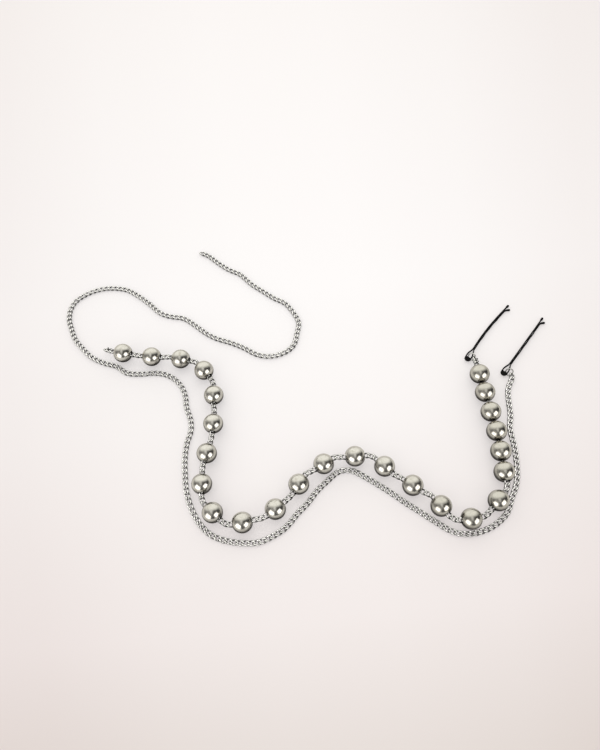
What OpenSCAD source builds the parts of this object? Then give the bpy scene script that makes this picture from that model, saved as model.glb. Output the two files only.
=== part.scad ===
// Chain headband lying flat in waves: a strand of round beads on short runs of curb chain,
// and a longer plain curb chain. A small ring holds a bent hair pin at one end of each.
// Sizes are in millimetres. The surface it lies on is z = 0 and +X runs along its length.

/* [Beads] */
// Diameter of a round bead
bead_d = 12; // [11.4:0.1:12.2]
// Diameter of the hole drilled through a bead
bead_bore_d = 4; // [3.9:0.1:4.2]
// Thickness of the wire inside a bead
bead_wire_d = 0.6; // [0.5:0.05:0.65]

/* [Chain] */
// Distance from one link to the next
link_pitch = 3.24; // [3.2:0.01:3.28]
// Thickness of the wire of a link
link_wire_d = 0.75; // [0.6:0.05:0.8]
// Width of a link over its wire
link_w = 3.4; // [3.2:0.05:3.45]
// How far two hooked ends reach past each other, between the middles of their wires
link_hook = 1.06; // [1:0.02:1.1]
// How far the sides of a link are bent up and down so that the chain lies flat
link_twist = 0.6; // [0.5:0.05:0.65]

/* [Rings] */
// Diameter of a jump ring over its wire
ring_d = 5.1; // [4.9:0.1:5.3]
// Thickness of the wire of a jump ring
ring_wire_d = 0.7; // [0.6:0.05:0.75]

/* [Hair pins] */
// Length of a hair pin from its bend to its longer tip
pin_l = 51.5; // [48:0.5:55]
// Height of the flat strip that a hair pin is bent from
strip_h = 1.3; // [1:0.1:1.4]
// Thickness of that strip
strip_t = 0.75; // [0.6:0.05:0.75]
// Width of the round bend over the strip
pin_bend_w = 4.2; // [4:0.1:4.4]
// Width of the two closed legs over the strip
pin_legs_w = 1.65; // [1.6:0.05:1.75]
// Diameter of the rounded tips
pin_tip_d = 1.5; // [1.45:0.05:1.6]
// Thickness of the flat pad that closes the inside of the bend
pin_pad_t = 0.5; // [0.3:0.1:0.7]

/* [Hidden] */
$fn = 48;
// Puts the middle of the outline over the origin
to_middle = [0.6, -0.2, 0];

// The beads in order from the loose end to the hair pin.
// Columns: x, y, heading of the bore in degrees, rise of the bore in degrees.
BEADS = [
    [-116, 29.5, -17, 0],
    [-97.5, 24.5, -12, 0],
    [-79, 20.5, -20, 0],
    [-64.5, 10.5, -57, 0],
    [-59, -7.5, -93, 0],
    [-60, -26.5, -98, 0],
    [-64.5, -45, -110, 0],
    [-68, -63.5, -94, 0],
    [-62.5, -81, -49, 0],
    [-46, -88.5, 7, 0],
    [-27, -83, 34, 0],
    [-12.5, -70, 53, 0],
    [3, -59.5, 29, 0],
    [21.5, -57, -1, 0],
    [37.5, -65, -52, 0],
    [51.5, -78, -43, 0],
    [65, -91.5, -61, 0],
    [80, -100.5, 2, 0],
    [97, -92, 42, 5],
    [104, -76, 91, 0],
    [105, -63.5, 87, 0],
    [105.5, -51, 90, 0],
    [105, -38.5, 92, 0],
    [104.5, -25.5, 92, 0],
    [104, -13, 92, 0],
];
last_bead = len(BEADS) - 1;
// From this bead on the beads are threaded close together on one wire
first_close_bead = 19;
// The gap at which the links change from one node to the other
middle_gap = 9;
links_in_gap = 3;
// How deep the wire's eye sits in the first bead, at the loose end
tail_inset = 0.6;
// Where the loose tail of the bead strand droops to, and its heading and rise there
tail_end = [-128.9, 36, 2.2];
tail_aim = [147, -46];
// Heading and rise of the links that reach the jump rings
strand_end_aim = [84, -34];
plain_end_aim = [80, -10];

// Route of the plain chain from its loose end round to the turn at the far left
BACK_ROUTE = [
    [-67.5, 108], [-60, 104], [-52, 95.5], [-45.5, 89.5], [-38, 84.5], [-31, 75.5],
    [-24, 69], [-16.5, 62], [-10, 57.5], [-5, 49.5], [-2, 41], [-4, 33],
    [-6.5, 25], [-12.5, 20], [-22, 18], [-31, 20.5], [-39, 26.5], [-47.5, 31.5],
    [-56, 35.5], [-63, 40.5], [-70.5, 48], [-77.5, 54], [-86, 56.5], [-93.5, 60.5],
    [-99.5, 67.5], [-107, 75], [-115, 81.5], [-124, 84.5], [-133.5, 85], [-143, 82.5],
    [-151, 77], [-154.5, 69], [-154.5, 63],
];
// Route of the plain chain from that turn, beside the beads, to its jump ring
FRONT_ROUTE = [
    [-154.5, 63], [-152, 54], [-149, 46], [-143.5, 38.5], [-138, 32], [-129.5, 26.5],
    [-121, 23], [-115, 17.5], [-106, 15.5], [-96, 15], [-87.5, 12], [-81, 5.5],
    [-77.5, -3], [-77, -11], [-74.5, -20], [-74.5, -28], [-77, -35], [-78.5, -45],
    [-78.5, -55], [-78, -65], [-75.5, -75], [-71.5, -84], [-65.5, -91.5], [-57.5, -96],
    [-48.5, -98.5], [-39, -99.5], [-30.5, -97], [-22, -92.5], [-15, -85.5], [-8.5, -80],
    [-2.5, -73.5], [4.5, -68], [11, -63.5], [18.5, -63.5], [26, -68.5], [33, -74],
    [40.5, -80.5], [47.5, -87], [54, -92.5], [61.5, -99], [70, -105.5], [79, -107.5],
    [88.5, -106], [96, -102.5], [102, -97.5], [106, -90], [110.5, -82.5], [113, -74],
    [114.5, -64.5], [115, -56], [115, -48.5], [117.5, -40], [118.5, -32], [120, -23.5],
    [123.3, -17.9],
];
TURN_HEADING = -86;

// The hair pins and the jump rings through their bends.
// Columns: x and y of the bend's middle, heading of the pin, sideways bow of its legs,
// the ring's offset along and across the pin, and the turn round the ring to its chain.
BEAD_PIN = [100.5, 0.8, 45.5, 1.5, 2.2, -1.3, 280];
PLAIN_PIN = [120.2, -11.9, 46.5, 0, 2.2, -2.4, 250];
ring_tilt = 38;
ring_z = 1.76;
// Height of the strip's lower edge at the bend and at the tips
pin_bend_z = 1.1;
pin_tip_z = 0.12;
// The crimped leg: its shorter length, the span and size of its three waves, and its turned-out tip
short_leg = 45.5;
wave_start = 15;
wave_l = 8;
wave_count = 3;
wave_h = 0.25;
flare_l = 5;
flare_w = 2;
neck_start = 2;
neck_l = 6;
// How far past the bend's middle the pad reaches
pad_reach = 1;

// Worked out from the sizes above
link_reach = link_pitch + link_hook;
link_side = link_w - link_wire_d;
link_h = 2 * link_twist + link_wire_d;
link_sections = 12;
wire_sides = 6;
eye_r = 1;
eye_wire_d = 0.7;
eye_roll = atan(4 * link_twist / link_side);
stopper_d = bead_bore_d - 0.2;
tube_sides = 8;
ring_r = (ring_d - ring_wire_d) / 2;
bend_r = (pin_bend_w - strip_t) / 2;
legs_r = (pin_legs_w - strip_t) / 2;
run_in = 4;

function two_digits(i) = str(i < 10 ? "0" : "", i);
function bead_name(i) = str("bead_", two_digits(i + 1));

// Small vector helpers
function unit(v) = v / norm(v);
function aim(heading, rise) = [cos(rise) * cos(heading), cos(rise) * sin(heading), sin(rise)];
function heading_of(v) = atan2(v.y, v.x);
function rise_of(v) = asin(v.z / norm(v));
function turned(v, a) = [v.x * cos(a) - v.y * sin(a), v.x * sin(a) + v.y * cos(a), v.z];
function part_of(a, b, t) = a + (b - a) * t;

// A path is a list of points, and a place on it is found by its distance from the start
function distances(path) = [
    for (i = 0, s = 0; i < len(path); s = s + norm(path[min(i + 1, len(path) - 1)] - path[i]), i = i + 1) s
];
function at(path, s) =
    let (d = distances(path))
    [for (axis = [0:2]) lookup(s, [for (i = [0:len(path) - 1]) [d[i], path[i][axis]]])];
function path_length(path) = distances(path)[len(path) - 1];
function curve(a, a_dir, b, b_dir, steps = 16) =
    let (reach = norm(b - a) / 3, p = a + reach * a_dir, q = b - reach * b_dir)
    [
        for (k = [0:steps])
            let (t = k / steps, u = 1 - t)
            u^3 * a + 3 * u^2 * t * p + 3 * u * t^2 * q + t^3 * b
    ];

// Places on the bead strand
function bead_middle(i) = [BEADS[i].x, BEADS[i].y, bead_d / 2];
function bore_dir(i) = aim(BEADS[i][2], BEADS[i][3]);
function bore_mouth(i, side) = bead_middle(i) + side * bead_d / 2 * bore_dir(i);

// The path of the links in the gap after bead i, with a straight run into each bore
function gap_curve(i) = curve(bore_mouth(i, 1), bore_dir(i), bore_mouth(i + 1, -1), bore_dir(i + 1));
function gap_path(i) = concat(
    [bore_mouth(i, 1) - run_in * bore_dir(i)],
    gap_curve(i),
    [bore_mouth(i + 1, -1) + run_in * bore_dir(i + 1)]
);
// Distance between the middles of the two wires that a run of links hooks onto
function links_span(count) = count * link_pitch - link_hook;
function gap_inset(i) = (links_span(links_in_gap) - path_length(gap_curve(i))) / 2;

// The loose tail before the first bead, and the run of links from the last bead to its ring
function tail_path() =
    let (mouth = bore_mouth(0, -1), dir = -bore_dir(0), tip = aim(tail_aim.x, tail_aim.y))
    concat([mouth - run_in * dir], curve(mouth, dir, tail_end, tip), [tail_end + run_in * tip]);
function ring_middle(pin) =
    [pin.x, pin.y, ring_z] + turned([pin[4], pin[5], 0], pin[2]);
function ring_place(pin) =
    let (a = pin[6])
    ring_middle(pin) + turned(ring_r * [cos(a) * cos(ring_tilt), sin(a), cos(a) * sin(ring_tilt)], pin[2]);
strand_end_dir = aim(strand_end_aim.x, strand_end_aim.y);
function last_curve() =
    curve(bore_mouth(last_bead, 1), bore_dir(last_bead), ring_place(BEAD_PIN), strand_end_dir);
function last_path() = concat(
    [bore_mouth(last_bead, 1) - run_in * bore_dir(last_bead)],
    last_curve(),
    [ring_place(BEAD_PIN) + run_in * strand_end_dir]
);
last_inset = links_span(links_in_gap) - path_length(last_curve());
function inset_before(i) = i == 0 ? tail_inset : gap_inset(i - 1);
function inset_after(i) = i == last_bead ? last_inset : gap_inset(i);

// Faces that close a grid of rings of points, either into a loop or with two flat ends
function grid_faces(rings, sides, closed) = [
    for (i = [0:rings - (closed ? 1 : 2)], j = [0:sides - 1])
        let (n = (i + 1) % rings, m = (j + 1) % sides)
        [i * sides + j, i * sides + m, n * sides + m, n * sides + j]
];
function end_faces(rings, sides) = [
    [for (j = [sides - 1:-1:0]) j],
    [for (j = [0:sides - 1]) (rings - 1) * sides + j]
];

// One curb link: an oval of round wire, bent so that its two ends cross the chain at a slant
function link_line(t) = [link_reach / 2 * cos(t), link_side / 2 * sin(t), link_twist * sin(2 * t)];
function link_run(t) = unit([-link_reach / 2 * sin(t), link_side / 2 * cos(t), 2 * link_twist * cos(2 * t)]);
function link_ring(t) =
    let (run = link_run(t), out = unit(cross(run, [0, 0, 1])), up = cross(out, run))
    [
        for (j = [0:wire_sides - 1])
            let (a = 360 * j / wire_sides)
            link_line(t) + link_wire_d / 2 * (cos(a) * out + sin(a) * up)
    ];

module chain_link() {
    rings = [for (i = [0:link_sections - 1]) link_ring(360 * i / link_sections)];
    polyhedron([for (ring = rings, p = ring) p], grid_faces(link_sections, wire_sides, true));
}

module placed(p, dir, roll = 0) {
    translate(p) rotate([roll, -rise_of(dir), heading_of(dir)]) children();
}

// A run of links whose hooked joints sit one pitch apart on the path, centred on a distance
module links_along(path, middle, count) {
    joints = [for (j = [0:count]) at(path, middle + (j - count / 2) * link_pitch)];
    for (k = [0:count - 1])
        placed((joints[k] + joints[k + 1]) / 2, joints[k + 1] - joints[k]) chain_link();
}

module gap_links(i) {
    links_along(gap_path(i), run_in + path_length(gap_curve(i)) / 2, links_in_gap);
}

module tail_links() {
    half_run = links_in_gap * link_pitch / 2;
    links_along(tail_path(), run_in - tail_inset - link_hook / 2 + half_run, links_in_gap);
}

module last_links() {
    half_run = links_in_gap * link_pitch / 2;
    links_along(last_path(), run_in + path_length(last_curve()) + link_hook / 2 - half_run, links_in_gap);
}

// Beads
module bead(i) {
    color("silver")
        translate(bead_middle(i))
            rotate([0, -BEADS[i][3], BEADS[i][2]])
                rotate([0, 90, 0])
                    difference() {
                        sphere(d = bead_d, $fn = 64);
                        cylinder(d = bead_bore_d, h = 2 * bead_d, center = true);
                    }
}

// The wire inside a bead, with an eye at each end that the chain hooks onto
module eye(p, dir, roll) {
    placed(p, dir, roll) rotate_extrude() translate([eye_r, 0]) circle(d = eye_wire_d, $fn = 16);
}

module rod(a, b) {
    placed(a, b - a) rotate([0, 90, 0]) cylinder(d = bead_wire_d, h = norm(b - a), $fn = 24);
}

// Distance from a bead's middle to the middle of its eye, for a given depth in the bore
function eye_distance(inset) = bead_d / 2 - inset - eye_r;

function first_eye(i) = bead_middle(i) - eye_distance(inset_before(i)) * bore_dir(i);
function last_eye(i) = bead_middle(i) + eye_distance(inset_after(i)) * bore_dir(i);

module bead_wire(i) {
    union() {
        eye(first_eye(i), bore_dir(i), -eye_roll);
        eye(last_eye(i), bore_dir(i), eye_roll);
        rod(first_eye(i) + eye_r * bore_dir(i), last_eye(i) - eye_r * bore_dir(i));
    }
}

// One wire through all the close beads, with a stopper in the middle of each that holds it
module long_wire(from, to) {
    start = first_eye(from) + eye_r * bore_dir(from);
    end = last_eye(to) - eye_r * bore_dir(to);
    stops = concat([start], [for (i = [from:to]) bead_middle(i)], [end]);
    union() {
        eye(first_eye(from), bore_dir(from), -eye_roll);
        eye(last_eye(to), bore_dir(to), eye_roll);
        for (k = [0:len(stops) - 2]) {
            dir = unit(stops[k + 1] - stops[k]);
            rod(
                stops[k] + (k == 0 ? 0 : stopper_d / 4) * dir,
                stops[k + 1] - (k == len(stops) - 2 ? 0 : stopper_d / 4) * dir
            );
        }
        for (k = [1:len(stops) - 2]) translate(stops[k]) sphere(d = stopper_d, $fn = 24);
    }
}

module bead_wires() {
    color("darkgray") {
        for (i = [0:first_close_bead - 1]) bead_wire(i);
        long_wire(first_close_bead, last_bead);
    }
}

module strand_links_left() {
    color("gainsboro") {
        tail_links();
        for (i = [0:middle_gap - 1]) gap_links(i);
    }
}

module strand_links_right() {
    color("gainsboro") {
        for (i = [middle_gap:first_close_bead - 1]) gap_links(i);
        last_links();
    }
}

// Jump rings, tipped so that they pass under one side of the bend and over the leg beyond it
module jump_ring(pin) {
    color("silver")
        translate(ring_middle(pin))
            rotate([0, -ring_tilt, pin[2]])
                rotate_extrude() translate([ring_r, 0]) circle(d = ring_wire_d, $fn = 24);
}

// Hair pin: one line runs down the straight leg, round the bend and out along the crimped leg
function neck(u) =
    let (t = min(max((u - neck_start) / neck_l, 0), 1))
    part_of(bend_r, legs_r, (1 - cos(180 * t)) / 2);
function bow_at(u, bow) = bow * sin(180 * min(max(u / pin_l, 0), 1));
function wave(u) =
    let (on_waves = u >= wave_start && u <= wave_start + wave_count * wave_l)
    on_waves ? wave_h * (1 - cos(360 * (u - wave_start) / wave_l)) / 2 : 0;
function flare(u) = flare_w * pow(max(u - short_leg + flare_l, 0) / flare_l, 2);
function pin_line(bow) =
    let (long_leg = pin_l - bend_r)
    concat(
        [for (k = [0:20]) let (u = long_leg * (1 - k / 20)) [u, neck(u) + bow_at(u, bow)]],
        [for (a = [105:15:255]) bend_r * [cos(a), sin(a)]],
        [for (k = [0:52]) let (u = short_leg * k / 52) [u, -neck(u) - wave(u) - flare(u) + bow_at(u, bow)]]
    );
function side_of(line, i) =
    let (d = unit(line[min(i + 1, len(line) - 1)] - line[max(i - 1, 0)]))
    [-d.y, d.x];
function strip_outline(line, t) = concat(
    [for (i = [0:len(line) - 1]) line[i] + t / 2 * side_of(line, i)],
    [for (i = [len(line) - 1:-1:0]) line[i] - t / 2 * side_of(line, i)]
);

// Flat pad inside the bend, which ends clear of the jump ring
module bend_pad() {
    arc = [for (a = [90:15:270]) bend_r * [cos(a), sin(a)]];
    translate([0, 0, (strip_h - pin_pad_t) / 2])
        linear_extrude(height = pin_pad_t)
            polygon(concat(arc, [[pad_reach, -bend_r], [pad_reach, bend_r]]));
}

module hair_pin(pin) {
    line = pin_line(pin[3]);
    slope = atan((pin_bend_z - pin_tip_z) / pin_l);
    color([0.07, 0.07, 0.08])
        translate([pin.x, pin.y, pin_bend_z])
            rotate([0, slope, pin[2]])
                union() {
                    linear_extrude(height = strip_h) polygon(strip_outline(line, strip_t));
                    bend_pad();
                    for (tip = [line[0], line[len(line) - 1]])
                        translate([tip.x, tip.y, strip_h / 2]) sphere(d = pin_tip_d, $fn = 32);
                }
}

// Plain chain: a flattened tube with one ring of points at each point of its route
function route_dir(route, i, first_heading, last_heading) =
    i == 0 && first_heading != undef ? aim(first_heading, 0)
    : i == len(route) - 1 && last_heading != undef ? aim(last_heading, 0)
    : unit(concat(route[min(i + 1, len(route) - 1)] - route[max(i - 1, 0)], 0));
function tube_ring(p, dir) =
    let (left = [-dir.y, dir.x, 0], reach = 1 / cos(180 / tube_sides))
    [for (j = [0:tube_sides - 1])
        let (a = 360 * (j + 0.5) / tube_sides)
        [p.x, p.y, link_h / 2] + reach * (link_w / 2 * cos(a) * left + [0, 0, link_h / 2 * sin(a)])];

module chain_tube(route, first_heading, last_heading) {
    rings = [
        for (i = [0:len(route) - 1])
            tube_ring(route[i], route_dir(route, i, first_heading, last_heading))
    ];
    color("lightgray")
        polyhedron(
            [for (ring = rings, p = ring) p],
            concat(grid_faces(len(route), tube_sides, false), end_faces(len(route), tube_sides))
        );
}

// The last link of the plain chain, hooked on its jump ring
module plain_end_link() {
    dir = aim(plain_end_aim.x, plain_end_aim.y);
    color("gainsboro") placed(ring_place(PLAIN_PIN) - (link_reach / 2 - link_hook) * dir, dir) chain_link();
}

translate(to_middle) {
    for (i = [0:last_bead])
        bead(i);
    bead_wires();
    strand_links_left();
    strand_links_right();
    jump_ring(BEAD_PIN);  // strand_ring
    hair_pin(BEAD_PIN);  // strand_pin
    chain_tube(BACK_ROUTE, undef, TURN_HEADING);  // plain_chain_back
    chain_tube(FRONT_ROUTE, TURN_HEADING, undef);  // plain_chain_front
    plain_end_link();
    jump_ring(PLAIN_PIN);  // plain_ring
    hair_pin(PLAIN_PIN);  // plain_pin
}
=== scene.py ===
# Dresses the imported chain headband: polished beads, interlocking links, rings, hair pins and studio light
import math

import bmesh
import bpy
import numpy as np
from mathutils import Matrix, Vector


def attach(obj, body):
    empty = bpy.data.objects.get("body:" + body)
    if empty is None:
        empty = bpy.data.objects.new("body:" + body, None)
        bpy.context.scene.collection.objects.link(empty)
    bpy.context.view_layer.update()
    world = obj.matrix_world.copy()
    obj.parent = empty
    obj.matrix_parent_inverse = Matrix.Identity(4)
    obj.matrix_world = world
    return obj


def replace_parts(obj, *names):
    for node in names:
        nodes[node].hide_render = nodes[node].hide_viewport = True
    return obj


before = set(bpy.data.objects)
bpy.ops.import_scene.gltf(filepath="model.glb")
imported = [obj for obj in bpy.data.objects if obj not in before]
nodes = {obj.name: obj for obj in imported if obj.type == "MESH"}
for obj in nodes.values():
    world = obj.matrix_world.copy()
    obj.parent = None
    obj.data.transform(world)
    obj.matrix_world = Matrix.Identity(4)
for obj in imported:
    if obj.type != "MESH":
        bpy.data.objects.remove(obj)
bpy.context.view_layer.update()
MM = 0.001
rng = np.random.default_rng(7)

# Sizes and places repeated from the part's source, in millimetres
TO_MIDDLE = np.array([0.6, -0.2, 0.0])
BEAD_D = 12.0
BORE_D = 4.0
PITCH = 3.24
LINK_W = 3.4
HOOK = 1.06
REACH = PITCH + HOOK
RUN_IN = 4.0
LINKS_IN_GAP = 3
TAIL_INSET = 0.6
TAIL_END = (-128.9, 36, 2.2)
# Heading and rise of the chain at the tail's end and at the two rings
TAIL_AIM = (147, -46)
STRAND_END_AIM = (84, -34)
PLAIN_END_AIM = (80, -10)
RING_R = 2.2
RING_WIRE = 0.7
RING_TILT = 38
RING_Z = 1.76
# x, y, heading and rise of each bead's bore
BEADS = [
    (-116, 29.5, -17, 0),
    (-97.5, 24.5, -12, 0),
    (-79, 20.5, -20, 0),
    (-64.5, 10.5, -57, 0),
    (-59, -7.5, -93, 0),
    (-60, -26.5, -98, 0),
    (-64.5, -45, -110, 0),
    (-68, -63.5, -94, 0),
    (-62.5, -81, -49, 0),
    (-46, -88.5, 7, 0),
    (-27, -83, 34, 0),
    (-12.5, -70, 53, 0),
    (3, -59.5, 29, 0),
    (21.5, -57, -1, 0),
    (37.5, -65, -52, 0),
    (51.5, -78, -43, 0),
    (65, -91.5, -61, 0),
    (80, -100.5, 2, 0),
    (97, -92, 42, 5),
    (104, -76, 91, 0),
    (105, -63.5, 87, 0),
    (105.5, -51, 90, 0),
    (105, -38.5, 92, 0),
    (104.5, -25.5, 92, 0),
    (104, -13, 92, 0),
]
LAST = len(BEADS) - 1
FIRST_CLOSE = 19
MIDDLE_GAP = 9
# The plain chain's route from its loose end to the turn on the far left, and on to its ring
BACK_ROUTE = [
    (-67.5, 108), (-60, 104), (-52, 95.5), (-45.5, 89.5), (-38, 84.5), (-31, 75.5),
    (-24, 69), (-16.5, 62), (-10, 57.5), (-5, 49.5), (-2, 41), (-4, 33),
    (-6.5, 25), (-12.5, 20), (-22, 18), (-31, 20.5), (-39, 26.5), (-47.5, 31.5),
    (-56, 35.5), (-63, 40.5), (-70.5, 48), (-77.5, 54), (-86, 56.5), (-93.5, 60.5),
    (-99.5, 67.5), (-107, 75), (-115, 81.5), (-124, 84.5), (-133.5, 85), (-143, 82.5),
    (-151, 77), (-154.5, 69), (-154.5, 63),
]
FRONT_ROUTE = [
    (-154.5, 63), (-152, 54), (-149, 46), (-143.5, 38.5), (-138, 32), (-129.5, 26.5),
    (-121, 23), (-115, 17.5), (-106, 15.5), (-96, 15), (-87.5, 12), (-81, 5.5),
    (-77.5, -3), (-77, -11), (-74.5, -20), (-74.5, -28), (-77, -35), (-78.5, -45),
    (-78.5, -55), (-78, -65), (-75.5, -75), (-71.5, -84), (-65.5, -91.5), (-57.5, -96),
    (-48.5, -98.5), (-39, -99.5), (-30.5, -97), (-22, -92.5), (-15, -85.5), (-8.5, -80),
    (-2.5, -73.5), (4.5, -68), (11, -63.5), (18.5, -63.5), (26, -68.5), (33, -74),
    (40.5, -80.5), (47.5, -87), (54, -92.5), (61.5, -99), (70, -105.5), (79, -107.5),
    (88.5, -106), (96, -102.5), (102, -97.5), (106, -90), (110.5, -82.5), (113, -74),
    (114.5, -64.5), (115, -56), (115, -48.5), (117.5, -40), (118.5, -32), (120, -23.5),
]
# Middle of the bend, heading, bow, ring offset along and across, turn round the ring to the chain
BEAD_PIN = (100.5, 0.8, 45.5, 1.5, 2.2, -1.3, 280)
PLAIN_PIN = (120.2, -11.9, 46.5, 0.0, 2.2, -2.4, 250)
STRIP_H = 1.3
BEND_R = 1.725
TIP_D = 1.5
# The pad in the bend stands in for the shade inside the loop
PAD_T = 0.5
PAD_REACH = 1.0
PIN_BEND_Z = 1.1
PIN_TIP_Z = 0.12
# Where the bend narrows to the legs, and where the crimped leg's waves lie
NECK_FROM = 2
NECK_L = 6
WAVES_FROM = 15
WAVES_TO = 39
WAVE_L = 8

# Sizes of the looks alone, in millimetres
# How far the looks stay inside the source's box
INSIDE = 0.01
# A link's wire, how far its ends hook past the joints, and how far it twists up and down
LOOK_WIRE = 0.9
LOOK_HOOK = 1.18
LOOK_TWIST = 0.68
# Points along a link and round its wire
LINK_SECTIONS = 32
LINK_SIDES = 12
# The share of a link's height that's left when its top and bottom are ground flat
FLATTENED = 0.8
HALF_LINK_H = FLATTENED * (LOOK_TWIST + LOOK_WIRE / 2)
# How far a link leans at random, in degrees, and how high it lies to stay off the floor
LEAN = 3
LEAN_ROOM = 0.09
# How far the chain's middle keeps inside the route at the turn on the far left
TURN_ROOM = 0.05
# How far out on the wire the flank's painted shade begins, on the strand and on the plain chain, and its
# span
STRAND_FLANK = 0.15
PLAIN_FLANK = 0.35
FLANK_SPAN = 0.3
# The flank's share away from the link's hooked ends, and where these begin, with their span
FLANK_SHARE = 0.75
HOOKED = (0.55, 0.25)
# Where the painted shade on the low side and on the inner side begins, with their spans, and the inner
# side's share
LOW_SIDE = (0.52, 0.2)
INNER_SIDE = (0.5, 0.3)
INNER_SHARE = 0.7
# A bead's rounded rim, how dark the painted shade from its bore begins on the rim, and the width and slope
# of a shut mouth's lip
RIM_R = 0.28
RIM_SHADE = 0.9
LIP_W = 0.9
LIP_SLOPE = 0.3
# Points round a bead, over its rim, over its outside, and along the wall of its bore
BEAD_SIDES = 72
RIM_STEPS = 7
OUTER_STEPS = 24
WALL_STEPS = (1.5, 3.0)
WALL_END = 4.2
# The close beads' mouths shut down on their wire, which leaves the first of them at a slant
NARROW_MOUTH = 0.6
SLANT_MOUTH = 1.0
# Dents on a bead: how many, the range of their size in radians and the range of their depth
DENTS = 9
DENT_SIZE = (0.25, 0.7)
DENT_DEPTH = (0.01, 0.04)
# Half the cut in a jump ring, in degrees, where it lies on each ring, and the points along and round it
RING_CUT = 1.2
STRAND_CUT_AT = 100
PLAIN_CUT_AT = 75
RING_SECTIONS = 73
RING_SIDES = 16
# A hair pin: lengths of its legs from the bend, their distance from the middle, and the strip
PIN_L = 50.7
SHORT_LEG = 46.6
LEGS_R = 0.39
STRIP_T = 0.76
STRIP_CORNER = 0.2
# Points along the straight leg, the bend and the crimped leg, and over a corner of the strip
STRAIGHT_STEPS = 60
BEND_STEPS = 14
CRIMPED_STEPS = 90
CORNER_STEPS = 5
# The bend's first and last angle in degrees, just inside the legs' own ends
BEND_TURN = (96, 264)
# Height of the crimped leg's waves, and the flare at its tip
WAVE_H = 0.14
FLARE_L = 2.9
FLARE_OUT = 1.6
# How much longer a tip's taper is than its round end
TIP_TAPER = 3.6
# The pad in the bend, a black sheet put where the loop's inside is only in shade: its points, how its free
# corners are cut along and across, the middle that its rim draws in to, and the size and height of its
# layers
PAD_STEPS = 25
PAD_CUT = 0.15
PAD_SHARE = 0.8
PAD_MIDDLE = (-0.35, 0.0)
PAD_LAYERS = ((0.9, -0.5), (1.0, -0.3), (1.0, 0.3), (0.9, 0.5))
# Points of the source's wires nearer to each other than this, in metres, are one point
SAME_POINT = 1e-7

# How much finer the hairlines on the silver are than its clouds
HAIR_FINER = 9
# How much higher a bead's painted underside shade reaches per metre farther back
BACK_SOONER = 0.014
# Over which metres to the right the beads turn a little darker, and by how much
OLDER_SIDE = (0.045, 0.062)
OLDER_BY = 0.45

# The floor's depth in metres over which its paper changes tone, and the light's strength on it
FLOOR_NEAR = -0.22
FLOOR_FAR = 0.42
FLOOR_LIGHT = 1.6
# The room's light as the metal mirrors it
METAL_LIGHT = 1.12
# The share of the floor's tone that doesn't depend on shadows
GLOW = 0.5
# How far in metres the metal mirrors the floor as its own dark contact shadow, and the two tones
CONTACT = (0.004, 0.012)
CONTACT_TONE = (0.10, 0.095, 0.09)
BEYOND_TONE = (0.95, 0.93, 0.90)
# The clear middle of the paper widens with the distance: its share beside the part, and the least one
CLEAR_SHARE = 0.92
CLEAR_LEAST = 0.65
# How far aside in metres the paper changes tone
SIDE_REACH = 0.4
# Half the floor's width, and how far it lies below the part, in metres
FLOOR_HALF = 4
FLOOR_DROP = 0.00002
# The place that the lamps shine at, in metres, and their colour
LAMP_AIM = (0.0, -0.05, 0.02)
LAMP_COLOUR = (1.0, 0.985, 0.96)
# Camera at the photograph's height and tilt
CAMERA_AT = (-0.0044, -0.1922, 0.37237)
CAMERA_DOWN = 62.373
CAMERA_ROLL = -6.288
CAMERA_LENS = 32.08


def unit(v):
    v = np.asarray(v, float)
    return v / np.linalg.norm(v)


def unit_rows(v):
    return v / np.linalg.norm(v, axis=1)[:, None]


def rise(values, start, span):
    """Goes from 0 to 1 while the values go from start over span."""
    return np.clip((values - start) / span, 0, 1)


def aim(heading, up=0.0):
    h, r = math.radians(heading), math.radians(up)
    return np.array([math.cos(r) * math.cos(h), math.cos(r) * math.sin(h), math.sin(r)])


def turned(v, degrees):
    a = math.radians(degrees)
    return np.array([v[0] * math.cos(a) - v[1] * math.sin(a), v[0] * math.sin(a) + v[1] * math.cos(a), v[2]])


def placing(direction, roll=0.0):
    """Rotation that turns +X into direction, with z kept up as far as it can be, after a roll about +X."""
    x = unit(direction)
    y = unit(np.cross([0, 0, 1], x))
    z = np.cross(x, y)
    a = math.radians(roll)
    return np.column_stack([x, math.cos(a) * y + math.sin(a) * z, -math.sin(a) * y + math.cos(a) * z])


def curve(a, a_dir, b, b_dir, steps=16):
    reach = np.linalg.norm(b - a) / 3
    p, q = a + reach * a_dir, b - reach * b_dir
    t = np.linspace(0, 1, steps + 1)[:, None]
    u = 1 - t
    return u**3 * a + 3 * u * u * t * p + 3 * u * t * t * q + t**3 * b


def distances(path):
    return np.concatenate([[0.0], np.cumsum(np.linalg.norm(np.diff(path, axis=0), axis=1))])


def at(path, s):
    d = distances(path)
    return np.array([np.interp(s, d, path[:, k]) for k in range(3)])


def smooth_route(points, steps=8):
    """A Catmull-Rom curve through the points of a route."""
    p = np.asarray(points, float)
    ends = np.vstack([2 * p[0] - p[1], p, 2 * p[-1] - p[-2]])
    out = []
    for i in range(1, len(ends) - 2):
        a, b, c, d = ends[i - 1], ends[i], ends[i + 1], ends[i + 2]
        square = 2 * a - 5 * b + 4 * c - d
        cube = 3 * b - a - 3 * c + d
        for t in np.arange(steps) / steps:
            out.append(0.5 * (2 * b + (c - a) * t + square * t**2 + cube * t**3))
    out.append(p[-1])
    return np.array(out)


# Places on the bead strand
def bead_middle(i):
    return np.array([BEADS[i][0], BEADS[i][1], BEAD_D / 2])


def bore_dir(i):
    return aim(BEADS[i][2], BEADS[i][3])


def bore_mouth(i, side):
    return bead_middle(i) + side * BEAD_D / 2 * bore_dir(i)


def ring_middle(pin):
    return np.array([pin[0], pin[1], RING_Z]) + turned((pin[4], pin[5], 0), pin[2])


def ring_place(pin):
    a, tilt = math.radians(pin[6]), math.radians(RING_TILT)
    on_ring = RING_R * np.array([math.cos(a) * math.cos(tilt), math.sin(a), math.cos(a) * math.sin(tilt)])
    return ring_middle(pin) + turned(on_ring, pin[2])


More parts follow.
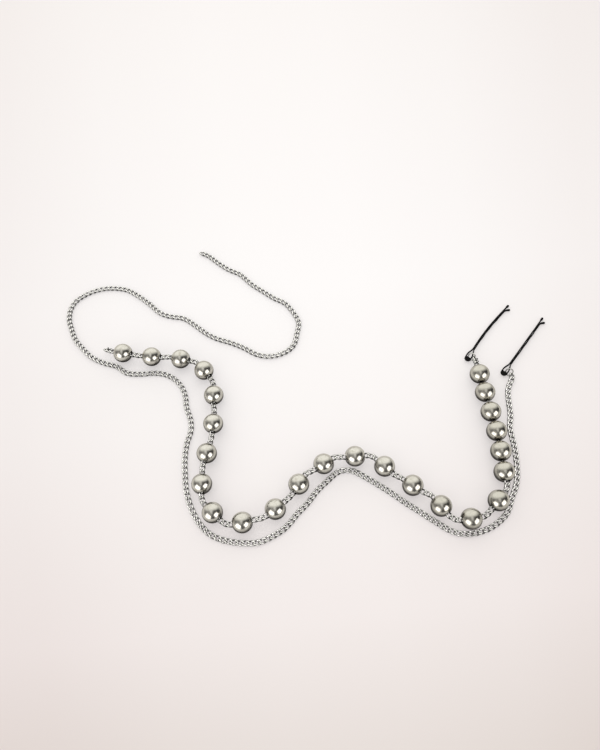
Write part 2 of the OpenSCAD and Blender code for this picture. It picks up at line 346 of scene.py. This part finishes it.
def joints_between(path, middle, count):
    return [at(path, middle + (j - count / 2) * PITCH) for j in range(count + 1)]


def gap_joints(i):
    a, a_dir, b, b_dir = bore_mouth(i, 1), bore_dir(i), bore_mouth(i + 1, -1), bore_dir(i + 1)
    line = curve(a, a_dir, b, b_dir)
    path = np.vstack([a - RUN_IN * a_dir, line, b + RUN_IN * b_dir])
    return joints_between(path, RUN_IN + distances(line)[-1] / 2, LINKS_IN_GAP)


def tail_joints():
    mouth, out = bore_mouth(0, -1), -bore_dir(0)
    end, tip = np.array(TAIL_END, float), aim(*TAIL_AIM)
    path = np.vstack([mouth - RUN_IN * out, curve(mouth, out, end, tip), end + RUN_IN * tip])
    return joints_between(path, RUN_IN - TAIL_INSET - HOOK / 2 + LINKS_IN_GAP * PITCH / 2, LINKS_IN_GAP)


def last_joints():
    mouth, out = bore_mouth(LAST, 1), bore_dir(LAST)
    spot, end = ring_place(BEAD_PIN), aim(*STRAND_END_AIM)
    line = curve(mouth, out, spot, end)
    path = np.vstack([mouth - RUN_IN * out, line, spot + RUN_IN * end])
    middle = RUN_IN + distances(line)[-1] + HOOK / 2 - LINKS_IN_GAP * PITCH / 2
    return joints_between(path, middle, LINKS_IN_GAP)


def links_on(joints):
    """Middle, direction and roll of the link between each two joints."""
    return [((p + q) / 2, q - p, 0.0) for p, q in zip(joints, joints[1:])]


# Mesh code
def add_piece(name, points, faces, material, marks=None):
    mesh = bpy.data.meshes.new(name)
    corners = [tuple(p) for p in np.asarray(points) * MM]
    mesh.from_pydata(corners, [], [tuple(int(i) for i in f) for f in faces])
    mesh.validate()
    mesh.update()
    if marks is not None:
        painted_shade = mesh.attributes.new("painted_shade", "FLOAT", "POINT")
        painted_shade.data.foreach_set("value", np.asarray(marks, np.float32))
    mesh.polygons.foreach_set("use_smooth", [True] * len(mesh.polygons))
    mesh.materials.append(material)
    piece = bpy.data.objects.new(name, mesh)
    bpy.context.scene.collection.objects.link(piece)
    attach(piece, "root")
    return piece


def grid(rings, sides, closed):
    faces = []
    for i in range(rings if closed else rings - 1):
        n = (i + 1) % rings
        for j in range(sides):
            m = (j + 1) % sides
            faces.append((i * sides + j, n * sides + j, n * sides + m, i * sides + m))
    return faces


def capped(rings, sides):
    """The faces of an open grid and of its two ends."""
    first = tuple(range(sides))
    last = tuple((rings - 1) * sides + j for j in reversed(range(sides)))
    return grid(rings, sides, False) + [first, last]


def turned_over(faces):
    return [tuple(reversed(f)) for f in faces]


def round_tube(line, radius, sides, closed):
    """A tube of round wire along a line, with each ring square to it."""
    line = np.asarray(line, float)
    if closed:
        run = np.roll(line, -1, axis=0) - np.roll(line, 1, axis=0)
    else:
        run = np.gradient(line, axis=0)
    run = unit_rows(run)
    out = unit_rows(np.cross(run, [0.0, 0.0, 1.0]))
    up = np.cross(out, run)
    a = 2 * np.pi * np.arange(sides) / sides
    ring = np.cos(a)[None, :, None] * out[:, None, :] + np.sin(a)[None, :, None] * up[:, None, :]
    points = line[:, None, :] + radius * ring
    faces = grid(len(line), sides, True) if closed else capped(len(line), sides)
    return points.reshape(-1, 3), faces


def link_shape(flank_from):
    """A twisted oval link, ground flat above and below, with painted shade on its flanks, low sides and
    inner sides.
    """
    t = 2 * np.pi * np.arange(LINK_SECTIONS) / LINK_SECTIONS
    reach, side = PITCH + LOOK_HOOK, LINK_W - LOOK_WIRE
    line = np.column_stack([reach / 2 * np.cos(t), side / 2 * np.sin(t), LOOK_TWIST * np.sin(2 * t)])
    points, faces = round_tube(line, LOOK_WIRE / 2, LINK_SIDES, True)
    points[:, 2] = np.clip(points[:, 2], -HALF_LINK_H, HALF_LINK_H)
    outward = np.tile(np.cos(2 * np.pi * np.arange(LINK_SIDES) / LINK_SIDES), LINK_SECTIONS)
    hooked = np.repeat(rise(np.abs(np.cos(t)), *HOOKED), LINK_SIDES)
    low = 0.5 - points[:, 2] / (2 * HALF_LINK_H)
    flank = rise(outward, flank_from, FLANK_SPAN) * (FLANK_SHARE + (1 - FLANK_SHARE) * hooked)
    marks = np.maximum(rise(low, *LOW_SIDE), flank)
    marks = np.maximum(marks, INNER_SHARE * rise(-outward, *INNER_SIDE))
    return points, faces, marks


STRAND_LINK = link_shape(STRAND_FLANK)
PLAIN_LINK = link_shape(PLAIN_FLANK)


def link_chain(name, places, shape):
    link_points, link_faces, link_marks = shape
    points, faces, marks = [], [], []
    for k, (middle, direction, roll) in enumerate(places):
        turn = placing(direction, roll)
        points.append(link_points @ turn.T + middle + TO_MIDDLE)
        faces.extend(tuple(i + k * len(link_points) for i in f) for f in link_faces)
        marks.append(link_marks)
    return add_piece(name, np.vstack(points), faces, chain_silver, np.concatenate(marks))


# Materials
def new_material(name):
    material = bpy.data.materials.new(name)
    material.use_nodes = True
    tree = material.node_tree
    return material, tree, tree.nodes["Principled BSDF"]


def noise(tree, scale, detail, roughness, distortion=0.0):
    coords = tree.nodes.new("ShaderNodeTexCoord")
    node = tree.nodes.new("ShaderNodeTexNoise")
    node.inputs["Scale"].default_value = scale
    node.inputs["Detail"].default_value = detail
    node.inputs["Roughness"].default_value = roughness
    node.inputs["Distortion"].default_value = distortion
    tree.links.new(coords.outputs["Object"], node.inputs["Vector"])
    return node.outputs["Fac"]


def ramp(tree, source, stops):
    node = tree.nodes.new("ShaderNodeValToRGB")
    tree.links.new(source, node.inputs["Fac"])
    elements = node.color_ramp.elements
    while len(elements) < len(stops):
        elements.new(0.5)
    for element, (place, colour) in zip(elements, stops):
        element.position = place
        element.color = (*colour, 1)
    return node.outputs["Color"]


def spread(tree, source, low, high, to_low, to_high):
    node = tree.nodes.new("ShaderNodeMapRange")
    node.inputs["From Min"].default_value = low
    node.inputs["From Max"].default_value = high
    node.inputs["To Min"].default_value = to_low
    node.inputs["To Max"].default_value = to_high
    tree.links.new(source, node.inputs["Value"])
    return node.outputs["Result"]


def mix_node(tree, a, b):
    node = tree.nodes.new("ShaderNodeMix")
    node.data_type = "RGBA"
    for value, socket in ((a, node.inputs[6]), (b, node.inputs[7])):
        if isinstance(value, tuple):
            socket.default_value = (*value, 1)
        else:
            tree.links.new(value, socket)
    return node


def blend_colours(tree, factor, a, b):
    node = mix_node(tree, a, b)
    tree.links.new(factor, node.inputs["Factor"])
    return node.outputs[2]


def multiply_colours(tree, a, b):
    node = mix_node(tree, a, b)
    node.blend_type = "MULTIPLY"
    node.inputs["Factor"].default_value = 1.0
    return node.outputs[2]


def math_node(tree, operation, *values):
    node = tree.nodes.new("ShaderNodeMath")
    node.operation = operation
    for value, socket in zip(values, node.inputs):
        if isinstance(value, float):
            socket.default_value = value
        else:
            tree.links.new(value, socket)
    return node.outputs["Value"]


def bump(tree, height, shader, strength, distance):
    node = tree.nodes.new("ShaderNodeBump")
    node.inputs["Strength"].default_value = strength
    node.inputs["Distance"].default_value = distance
    tree.links.new(height, node.inputs["Height"])
    tree.links.new(node.outputs["Normal"], shader.inputs["Normal"])


def marks_of(tree):
    node = tree.nodes.new("ShaderNodeAttribute")
    node.attribute_name = "painted_shade"
    return node.outputs["Fac"]


def place_of(tree):
    coords = tree.nodes.new("ShaderNodeTexCoord")
    parts = tree.nodes.new("ShaderNodeSeparateXYZ")
    tree.links.new(coords.outputs["Object"], parts.inputs["Vector"])
    return parts.outputs


def height_of(tree, low, high):
    """Rises from 0 to 1 between two heights in millimetres, a little sooner on the beads farther back."""
    place = place_of(tree)
    height = math_node(tree, "ADD", place["Z"], math_node(tree, "MULTIPLY", place["Y"], BACK_SOONER))
    return spread(tree, height, low * MM, high * MM, 0.0, 1.0)


def silver(name, bright, stain, shade_tone, edge, rough, cloud_scale, underside_shade=None):
    """Plated silver: clouded and faintly stained, with painted shade in its hollows and, on the beads, below
    a height, and with fine hairlines.
    """
    material, tree, shader = new_material(name)
    shader.inputs["Metallic"].default_value = 1.0
    clouds = noise(tree, cloud_scale, detail=5.0, roughness=0.62, distortion=0.6)
    tint = ramp(tree, clouds, [(0.36, bright), (0.52, tuple(0.93 * c for c in bright)), (0.72, stain)])
    # The marks carry painted shade: on the links' flanks, low and inner sides, in the beads' bores and on
    # the rings' inner sides
    shade_mask = spread(tree, marks_of(tree), 0.15, 0.85, 0.0, 1.0)
    tint = blend_colours(tree, shade_mask, tint, shade_tone)
    if underside_shade is not None:
        older = spread(tree, place_of(tree)["X"], *OLDER_SIDE, 0.0, OLDER_BY)
        tint = blend_colours(tree, older, tint, stain)
        # Below a height the beads turn dark: painted shade, their own contact shadow mirrored in their
        # undersides
        tint = blend_colours(tree, height_of(tree, *underside_shade), shade_tone, tint)
    tree.links.new(tint, shader.inputs["Base Color"])
    hair = noise(tree, HAIR_FINER * cloud_scale, detail=6.0, roughness=0.7, distortion=1.5)
    tree.links.new(spread(tree, hair, 0.3, 0.75, *rough), shader.inputs["Roughness"])
    shader.inputs["Specular Tint"].default_value = (*edge, 1)
    relief = math_node(tree, "MULTIPLY_ADD", hair, 0.25, clouds)
    bump(tree, relief, shader, strength=0.3, distance=0.00008)
    return material


def enamel():
    """Black gloss lacquer over steel, with a faint orange peel and rubbed spots."""
    material, tree, shader = new_material("pin_enamel")
    peel = noise(tree, 900.0, detail=3.0, roughness=0.5)
    rub = noise(tree, 260.0, detail=5.0, roughness=0.65, distortion=0.8)
    colour = ramp(tree, rub, [(0.35, (0.003, 0.003, 0.003)), (0.8, (0.009, 0.008, 0.008))])
    tree.links.new(colour, shader.inputs["Base Color"])
    tree.links.new(spread(tree, rub, 0.3, 0.8, 0.3, 0.5), shader.inputs["Roughness"])
    shader.inputs["Specular IOR Level"].default_value = 0.06
    bump(tree, peel, shader, strength=0.25, distance=0.00003)
    return material


def wire_steel():
    material, tree, shader = new_material("wire_steel")
    shader.inputs["Metallic"].default_value = 1.0
    draw = noise(tree, 1500.0, detail=3.0, roughness=0.6)
    colour = ramp(tree, draw, [(0.3, (0.42, 0.42, 0.41)), (0.8, (0.6, 0.6, 0.58))])
    tree.links.new(colour, shader.inputs["Base Color"])
    tree.links.new(spread(tree, draw, 0.3, 0.8, 0.25, 0.42), shader.inputs["Roughness"])
    return material


# The beads' underside range darkens them below 5.9 to 7.8 mm: painted shade
bead_silver = silver(
    "bead_silver",
    bright=(0.545, 0.525, 0.484),
    stain=(0.385, 0.365, 0.319),
    shade_tone=(0.09, 0.083, 0.08),
    edge=(0.98, 0.96, 0.93),
    rough=(0.16, 0.28),
    cloud_scale=420.0,
    underside_shade=(5.9, 7.8),
)
chain_silver = silver(
    "chain_silver",
    bright=(0.98, 0.965, 0.94),
    stain=(0.80, 0.785, 0.75),
    shade_tone=(0.03, 0.03, 0.03),
    edge=(0.10, 0.10, 0.10),
    rough=(0.16, 0.28),
    cloud_scale=900.0,
)
ring_silver = silver(
    "ring_silver",
    bright=(0.50, 0.495, 0.47),
    stain=(0.32, 0.315, 0.29),
    shade_tone=(0.05, 0.05, 0.045),
    edge=(0.08, 0.08, 0.08),
    rough=(0.12, 0.24),
    cloud_scale=700.0,
)
pin_enamel = enamel()
bead_wire_steel = wire_steel()


# Beads: a turned ball with rounded rims round its bore, and slight dents of its own
def bead_half(mouth_r):
    """Half of a bead's outline, from the middle of its bore out over the rim of one mouth."""
    radius, bore = BEAD_D / 2 - INSIDE, BORE_D / 2
    rim_r = mouth_r + RIM_R
    rim_x = math.sqrt((radius - RIM_R) ** 2 - rim_r**2)
    start = math.atan2(rim_r, rim_x)
    if mouth_r < bore:
        wall = [(x, bore) for x in (*WALL_STEPS, rim_x - LIP_W - LIP_SLOPE)] + [(rim_x - LIP_W, mouth_r)]
    else:
        wall = [(x, bore) for x in (*WALL_STEPS, WALL_END)]
    rim_turns = np.linspace(-math.pi / 2, start, RIM_STEPS)[:-1]
    rim = [(rim_x + RIM_R * math.cos(a), rim_r + RIM_R * math.sin(a)) for a in rim_turns]
    outer_turns = np.linspace(start, math.pi / 2, OUTER_STEPS)
    outer = [(radius * math.cos(a), radius * math.sin(a)) for a in outer_turns]
    return wall, rim, outer


def bead_profile(mouth_before, mouth_after):
    """A bead's outline with its painted shade: full in the bore, and fading over the rim of an open mouth.
    """
    wall, rim, outer = bead_half(mouth_after)
    far_wall, far_rim, far_outer = ([(-x, r) for x, r in reversed(part)] for part in bead_half(mouth_before))
    profile = wall + rim + outer + far_outer[1:] + far_rim + far_wall
    open_mouth, far_open = (float(mouth > SLANT_MOUTH) for mouth in (mouth_after, mouth_before))
    fading = [RIM_SHADE * (1 - k / len(rim)) for k in range(len(rim))]
    painted_shade = [1.0] * len(wall) + [open_mouth * shade_level for shade_level in fading]
    painted_shade += [0.0] * (len(outer) + len(far_outer) - 1)
    painted_shade += [far_open * shade_level for shade_level in reversed(fading)] + [1.0] * len(far_wall)
    return profile, painted_shade


def bead_mesh(name, i):
    before = NARROW_MOUTH if i > FIRST_CLOSE else BORE_D / 2
    after = NARROW_MOUTH if FIRST_CLOSE <= i < LAST else BORE_D / 2
    if i == FIRST_CLOSE:
        after = SLANT_MOUTH
    profile, painted_shade = bead_profile(before, after)
    a = 2 * np.pi * np.arange(BEAD_SIDES) / BEAD_SIDES
    points = np.array([(x, r * c, r * s) for x, r in profile for c, s in zip(np.cos(a), np.sin(a))])
    faces = grid(len(profile), BEAD_SIDES, True)
    marks = np.repeat(painted_shade, BEAD_SIDES)
    away = unit_rows(points)
    dents = np.zeros(len(points))
    for _ in range(DENTS):
        spot, size, depth = unit(rng.normal(size=3)), rng.uniform(*DENT_SIZE), rng.uniform(*DENT_DEPTH)
        near = np.arccos(np.clip(away @ spot, -1, 1)) / size
        dents += depth * np.exp(-near * near * 2)
    outer = np.linalg.norm(points, axis=1) > BEAD_D / 2 - 2 * INSIDE
    points = points - away * (dents * outer)[:, None]
    turn = placing(bore_dir(i))
    return add_piece(name, points @ turn.T + bead_middle(i) + TO_MIDDLE, faces, bead_silver, marks)


for i in range(len(BEADS)):
    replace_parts(bead_mesh(f"silver_bead_{i + 1:02d}", i), f"bead_{i + 1:02d}")

# Strand chain: the source's links, made smooth and ground flat
left_places = links_on(tail_joints())
for i in range(MIDDLE_GAP):
    left_places += links_on(gap_joints(i))
right_places = []
for i in range(MIDDLE_GAP, FIRST_CLOSE):
    right_places += links_on(gap_joints(i))
right_places += links_on(last_joints())
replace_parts(link_chain("strand_curb_left", left_places, STRAND_LINK), "strand_links_left")
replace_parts(link_chain("strand_curb_right", right_places, STRAND_LINK), "strand_links_right")

# Plain chain: every link, from the end link on the ring back along the route to the loose end
end_dir = aim(*PLAIN_END_AIM)
end_middle = ring_place(PLAIN_PIN) - (REACH / 2 - HOOK) * end_dir
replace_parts(link_chain("plain_curb_end", [(end_middle, end_dir, 0.0)], STRAND_LINK), "plain_end_link")


def plain_places():
    first_joint = end_middle - PITCH / 2 * end_dir
    flat = [(x, y, HALF_LINK_H + LEAN_ROOM) for x, y in reversed(BACK_ROUTE[:-1] + FRONT_ROUTE)]
    path = smooth_route([tuple(first_joint)] + flat)
    path[:, 0] = np.maximum(path[:, 0], BACK_ROUTE[-1][0] + TURN_ROOM)
    count = int(distances(path)[-1] / PITCH)
    places = links_on([at(path, k * PITCH) for k in range(count + 1)])
    turn_at = min(range(count), key=lambda k: np.linalg.norm(places[k][0][:2] - np.array(BACK_ROUTE[-1])))
    leans = rng.uniform(-LEAN, LEAN, count)
    places = [(middle, direction, float(lean)) for (middle, direction, _), lean in zip(places, leans)]
    return places[:turn_at], places[turn_at:]


front_places, back_places = plain_places()
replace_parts(link_chain("plain_curb_front", front_places, PLAIN_LINK), "plain_chain_front")
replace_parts(link_chain("plain_curb_back", back_places, PLAIN_LINK), "plain_chain_back")


# Jump rings: bent wire whose two cut ends nearly meet
def jump_ring(name, pin, cut_at):
    a = np.radians(np.linspace(cut_at + RING_CUT, cut_at + 360 - RING_CUT, RING_SECTIONS))
    line = np.column_stack([RING_R * np.cos(a), RING_R * np.sin(a), np.zeros(len(a))])
    points, faces = round_tube(line, RING_WIRE / 2, RING_SIDES, False)
    tilt, yaw = math.radians(RING_TILT), math.radians(pin[2])
    turn = np.array(Matrix.Rotation(yaw, 3, "Z") @ Matrix.Rotation(-tilt, 3, "Y"))
    points = points @ turn.T + ring_middle(pin) + TO_MIDDLE
    # The inner side of the ring's wire is darkened: painted shade
    inner_shade = np.clip(-np.cos(2 * np.pi * np.arange(RING_SIDES) / RING_SIDES), 0, 1)
    return add_piece(name, points, faces, ring_silver, np.tile(inner_shade, len(line)))


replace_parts(jump_ring("strand_jump_ring", BEAD_PIN, STRAND_CUT_AT), "strand_ring")
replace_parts(jump_ring("plain_jump_ring", PLAIN_PIN, PLAIN_CUT_AT), "plain_ring")


# Hair pins: a flat strip with rounded edges along the source's line, with drop-shaped tips
def pin_line(bow):
    def neck(u):
        t = min(max((u - NECK_FROM) / NECK_L, 0), 1)
        return BEND_R + (LEGS_R - BEND_R) * (1 - math.cos(math.pi * t)) / 2

    def bow_at(u):
        return bow * math.sin(math.pi * min(max(u / PIN_L, 0), 1))

    def wave(u):
        if u < WAVES_FROM or u > WAVES_TO:
            return 0
        return WAVE_H * (1 - math.cos(2 * math.pi * (u - WAVES_FROM) / WAVE_L)) / 2

    def flare(u):
        return FLARE_OUT * (max(u - SHORT_LEG + FLARE_L, 0) / FLARE_L) ** 2

    long_leg = PIN_L - BEND_R
    straight = [(u, neck(u) + bow_at(u)) for u in np.linspace(long_leg, 0, STRAIGHT_STEPS)]
    bend_turns = np.radians(np.linspace(*BEND_TURN, BEND_STEPS))
    bend = [(BEND_R * math.cos(a), BEND_R * math.sin(a)) for a in bend_turns]
    crimped_at = np.linspace(0, SHORT_LEG, CRIMPED_STEPS)
    crimped = [(u, -neck(u) - wave(u) - flare(u) + bow_at(u)) for u in crimped_at]
    return np.array(straight + bend + crimped)


def strip_section():
    """Points round the strip: across it and up it, with rounded edges."""
    mid_x, mid_y = STRIP_T / 2 - STRIP_CORNER, STRIP_H / 2 - STRIP_CORNER
    points = []
    for cx, cy, start in ((1, 1, 0), (-1, 1, 90), (-1, -1, 180), (1, -1, 270)):
        for a in np.radians(np.linspace(start, start + 90, CORNER_STEPS)):
            points.append((cx * mid_x + STRIP_CORNER * math.cos(a), cy * mid_y + STRIP_CORNER * math.sin(a)))
    return np.array(points)


def bend_shade_pad():
    """The flat black pad that closes the inside of the bend, put where the loop's inside is only in shade,
    with its free edge rounded.
    """
    pad_turns = np.radians(np.linspace(90, 270, PAD_STEPS))
    outline = [(BEND_R * math.cos(a), BEND_R * math.sin(a)) for a in pad_turns]
    corner, edge = PAD_REACH - PAD_CUT, PAD_SHARE * BEND_R
    outline += [(corner, -BEND_R), (PAD_REACH, -edge), (PAD_REACH, edge), (corner, BEND_R)]
    outline, middle = np.array(outline), np.array(PAD_MIDDLE)
    points = []
    for size, z in PAD_LAYERS:
        points += [(x, y, STRIP_H / 2 + PAD_T * z) for x, y in middle + size * (outline - middle)]
    return np.array(points), turned_over(capped(4, len(outline)))


def pin_tip(place, away):
    """A drop of lacquer: a ball with a long taper back along the leg."""
    rings, sides, radius = 17, 24, TIP_D / 2
    across = np.array([-away[1], away[0]])
    points = []
    for i in range(rings):
        a = math.pi * (i + 0.5) / rings
        along = radius * math.cos(a)
        wide = radius * math.sin(a)
        if along < 0:
            along *= TIP_TAPER
        for j in range(sides):
            b = 2 * math.pi * j / sides
            flat = place + along * away + wide * math.cos(b) * across
            points.append((flat[0], flat[1], STRIP_H / 2 + wide * math.sin(b)))
    return np.array(points), capped(rings, sides)


def hair_pin(name, pin):
    line = pin_line(pin[3])
    run = unit_rows(np.gradient(line, axis=0))
    across = np.column_stack([-run[:, 1], run[:, 0]])
    section = strip_section()
    sides = len(section)
    points = np.zeros((len(line), sides, 3))
    points[:, :, :2] = line[:, None, :] + section[None, :, :1] * across[:, None, :]
    points[:, :, 2] = STRIP_H / 2 + section[None, :, 1]
    points = points.reshape(-1, 3)
    faces = turned_over(capped(len(line), sides))
    # The third extra is the pad that fills the bend: a black sheet standing in for the shade inside the loop
    extras = (pin_tip(line[0], -run[0]), pin_tip(line[-1], run[-1]), bend_shade_pad())
    for extra_points, extra_faces in extras:
        faces += [tuple(i + len(points) for i in f) for f in extra_faces]
        points = np.vstack([points, extra_points])
    slope = math.atan2(PIN_BEND_Z - PIN_TIP_Z, PIN_L)
    turn = np.array(Matrix.Rotation(math.radians(pin[2]), 3, "Z") @ Matrix.Rotation(slope, 3, "Y"))
    points = points @ turn.T + np.array([pin[0], pin[1], PIN_BEND_Z]) + TO_MIDDLE
    return add_piece(name, points, faces, pin_enamel)


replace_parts(hair_pin("strand_hair_pin", BEAD_PIN), "strand_pin")
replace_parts(hair_pin("plain_hair_pin", PLAIN_PIN), "plain_pin")


# Bead wires: the source's own solids, with the points that lie on one another joined
def joined_wires():
    shape = bmesh.new()
    shape.from_mesh(nodes["bead_wires"].data)
    bmesh.ops.remove_doubles(shape, verts=shape.verts, dist=SAME_POINT)
    shape.verts.index_update()
    points = np.array([tuple(v.co) for v in shape.verts]) / MM
    faces = [[v.index for v in face.verts] for face in shape.faces]
    shape.free()
    return add_piece("bead_wire_lines", points, faces, bead_wire_steel)


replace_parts(joined_wires(), "bead_wires")

# Floor
# Its tone from the near edge to the far one, and from the middle out to the sides: painted shade, darker
# where the light falls off
DEPTH_TONES = [
    (0.0, (0.755, 0.69, 0.665)),
    (0.12, (0.875, 0.815, 0.81)),
    (0.30, (0.94, 0.905, 0.905)),
    (0.45, (0.965, 0.94, 0.945)),
    (1.0, (0.935, 0.90, 0.895)),
]
SIDE_TONES = [
    (0.1, (1.0, 1.0, 1.0)),
    (0.3, (0.975, 0.97, 0.968)),
    (0.5, (0.925, 0.905, 0.90)),
    (1.0, (0.88, 0.85, 0.84)),
]


def floor_paper():
    """Pale paper with painted shade: a little darker and pinker towards its near edge and its sides, where
    the light falls off.
    """
    material, tree, shader = new_material("floor_paper")
    place = place_of(tree)
    along = ramp(tree, spread(tree, place["Y"], FLOOR_NEAR, FLOOR_FAR, 0.0, 1.0), DEPTH_TONES)
    widening = math_node(tree, "MAXIMUM", math_node(tree, "ADD", place["Y"], CLEAR_SHARE), CLEAR_LEAST)
    aside = math_node(tree, "ABSOLUTE", math_node(tree, "DIVIDE", place["X"], widening))
    sides = ramp(tree, spread(tree, aside, 0.0, SIDE_REACH, 0.0, 1.0), SIDE_TONES)
    paper = multiply_colours(tree, along, sides)
    path = tree.nodes.new("ShaderNodeLightPath")
    away = spread(tree, path.outputs["Ray Length"], *CONTACT, 0.0, 1.0)
    reflected = blend_colours(tree, away, CONTACT_TONE, BEYOND_TONE)
    mirrored = blend_colours(tree, path.outputs["Is Glossy Ray"], paper, reflected)
    lit = tree.nodes.new("ShaderNodeVectorMath")
    lit.operation = "SCALE"
    lit.inputs["Scale"].default_value = 1 - GLOW
    tree.links.new(mirrored, lit.inputs[0])
    tree.links.new(lit.outputs["Vector"], shader.inputs["Base Color"])
    tree.links.new(mirrored, shader.inputs["Emission Color"])
    shader.inputs["Emission Strength"].default_value = GLOW
    material.cycles.emission_sampling = "NONE"
    shader.inputs["Roughness"].default_value = 0.9
    shader.inputs["Specular IOR Level"].default_value = 0.1
    grain = noise(tree, 260.0, detail=5.0, roughness=0.6)
    bump(tree, grain, shader, strength=0.05, distance=0.0002)
    return material


floor_mesh = bpy.data.meshes.new("floor")
floor_corners = [(FLOOR_HALF * x, FLOOR_HALF * y, 0) for x, y in ((-1, -1), (1, -1), (1, 1), (-1, 1))]
floor_mesh.from_pydata(floor_corners, [], [(0, 1, 2, 3)])
floor = bpy.data.objects.new("floor", floor_mesh)
floor.location.z = -FLOOR_DROP
bpy.context.scene.collection.objects.link(floor)
floor.data.materials.append(floor_paper())


# Light
def softbox(name, at_m, width, height, power):
    """A warm white lamp that shines at the middle of the part."""
    light = bpy.data.lights.new(name, "AREA")
    light.shape = "RECTANGLE"
    light.size = width
    light.size_y = height
    light.energy = power
    light.color = LAMP_COLOUR
    lamp = bpy.data.objects.new(name, light)
    lamp.location = at_m
    away = Vector(at_m) - Vector(LAMP_AIM)
    lamp.rotation_euler = away.to_track_quat("Z", "Y").to_euler()
    lamp.visible_diffuse = False
    bpy.context.scene.collection.objects.link(lamp)


softbox("front_left", (-0.62, -0.68, 0.33), 0.80, 0.64, 3.9)
softbox("front_right", (0.62, -0.60, 0.42), 0.68, 0.60, 3.5)

# Directions in which the room is darker or lighter: direction, outer and inner angle in degrees, tone
ROOM_TONES = [
    ((0.06, -0.97, 0.25), 24, 8, 0.08),
    ((-0.9, -0.05, 0.45), 20, 6, 0.2),
    ((0.86, -0.07, 0.5), 30, 10, 0.04),
    ((-0.62, -0.62, 0.3), 36, 14, 1.0),
    ((0.64, -0.62, 0.34), 28, 12, 0.85),
    ((-0.05, -0.12, 1), 18, 8, 0.95),
    ((-0.03, -0.42, 0.91), 13, 4, 0.85),
]
ROOM_TINT = (1.0, 0.99, 0.96)
# The wall of light and the room's left side: the direction, its outer and inner cosine, and the tones
WALL_AIM = (0, 0.9, 0.436)
WALL_EDGES = (0.36, 0.74)
WALL_TONE = (1.35, 1.35, 1.28)
LEFT_AIM = (-1, 0, 0.2)
LEFT_EDGES = (-0.3, 0.8)
LEFT_TONE = (0.40, 0.39, 0.37)
RIGHT_TONE = (0.055, 0.053, 0.05)
# The even light's share on the floor and its tone, and the backdrop's tone
EVEN_SHARE = 0.5
EVEN_TONE = (0.62, 0.62, 0.60)
BACKDROP_TONE = (0.79, 0.77, 0.75)


def studio_world():
    """A pale wall of light behind and above, a darker room in front, and a plain backdrop for the camera."""
    world = bpy.data.worlds.new("studio")
    world.use_nodes = True
    tree = world.node_tree
    background = tree.nodes["Background"]
    coords = tree.nodes.new("ShaderNodeTexCoord")

    def towards(direction):
        dot = tree.nodes.new("ShaderNodeVectorMath")
        dot.operation = "DOT_PRODUCT"
        tree.links.new(coords.outputs["Generated"], dot.inputs[0])
        dot.inputs[1].default_value = unit(direction)
        return dot.outputs["Value"]

    wall = spread(tree, towards(WALL_AIM), *WALL_EDGES, 0.0, 1.0)
    left = spread(tree, towards(LEFT_AIM), *LEFT_EDGES, 0.0, 1.0)
    room = blend_colours(tree, left, RIGHT_TONE, LEFT_TONE)
    for direction, outer, inner_shade, tone in ROOM_TONES:
        edges = [math.cos(math.radians(angle)) for angle in (outer, inner_shade)]
        near = spread(tree, towards(direction), *edges, 0.0, 1.0)
        room = blend_colours(tree, near, room, tuple(tone * tint for tint in ROOM_TINT))
    light = blend_colours(tree, wall, room, WALL_TONE)
    path = tree.nodes.new("ShaderNodeLightPath")
    # The floor is lit more evenly than the metal, so that its shadows stay faint
    even = math_node(tree, "MULTIPLY", path.outputs["Is Diffuse Ray"], EVEN_SHARE)
    light = blend_colours(tree, even, light, EVEN_TONE)
    shown = blend_colours(tree, path.outputs["Is Camera Ray"], light, BACKDROP_TONE)
    tree.links.new(shown, background.inputs["Color"])
    strength = spread(tree, path.outputs["Is Diffuse Ray"], 0.0, 1.0, METAL_LIGHT, FLOOR_LIGHT)
    tree.links.new(strength, background.inputs["Strength"])
    return world


bpy.context.scene.world = studio_world()
bpy.context.scene.view_settings.view_transform = "Standard"

# Camera
down, roll = math.radians(CAMERA_DOWN), math.radians(CAMERA_ROLL)
forward = Vector((0, math.cos(down), -math.sin(down)))
plain_up = Vector((0, math.sin(down), math.cos(down)))
right = Vector((1, 0, 0))
camera_x = math.cos(roll) * right + math.sin(roll) * plain_up
camera_y = -math.sin(roll) * right + math.cos(roll) * plain_up
camera_data = bpy.data.cameras.new("camera")
camera_data.sensor_width = 36
camera_data.lens = CAMERA_LENS
camera_data.clip_start = 0.01
camera = bpy.data.objects.new("camera", camera_data)
turn = Matrix((camera_x, camera_y, -forward)).transposed().to_4x4()
camera.matrix_world = Matrix.Translation(CAMERA_AT) @ turn
bpy.context.scene.collection.objects.link(camera)
bpy.context.scene.camera = camera
